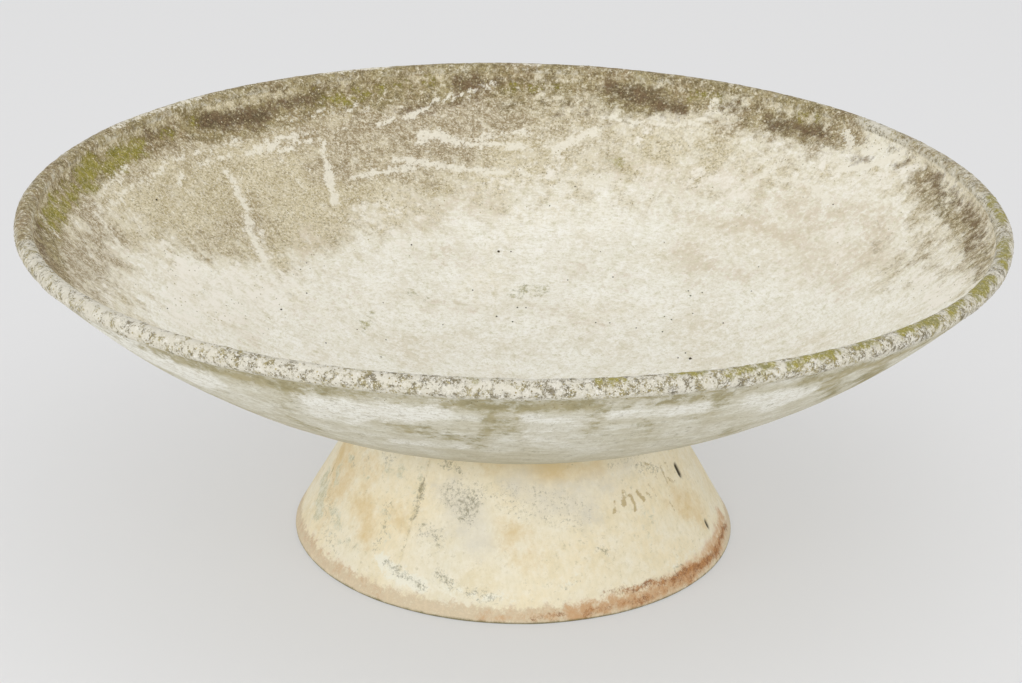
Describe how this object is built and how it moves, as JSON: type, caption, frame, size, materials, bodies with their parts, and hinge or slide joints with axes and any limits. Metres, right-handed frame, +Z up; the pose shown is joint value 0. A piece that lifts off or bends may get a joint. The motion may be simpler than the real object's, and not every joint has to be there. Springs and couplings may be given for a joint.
{
  "type": "bowl planter",
  "caption": "Wide shallow dished planter with a rolled rim and a drain hole, resting on a hollow flared stand that it lifts off.",
  "frame": {"origin": "on the floor, at the centre of the stand's foot", "axes": "+Z up along the common axis of bowl and stand; the side seen in the picture faces -Y"},
  "size_m": [1.1998, 1.1998, 0.4423],
  "materials": {
    "limewashed_fibre_cement": "matte, worn limewash",
    "weathered_fibre_cement": "rough, weathered, stained by lichen"
  },
  "bodies": {
    "stand": {"stand": "limewashed_fibre_cement"},
    "bowl": {"bowl": "weathered_fibre_cement"}
  },
  "joints": [
    {"name": "bowl_lift", "type": "slide", "parent": "stand", "child": "bowl", "axis": [0, 0, 1], "range_m": [0, 0.15]}
  ]
}
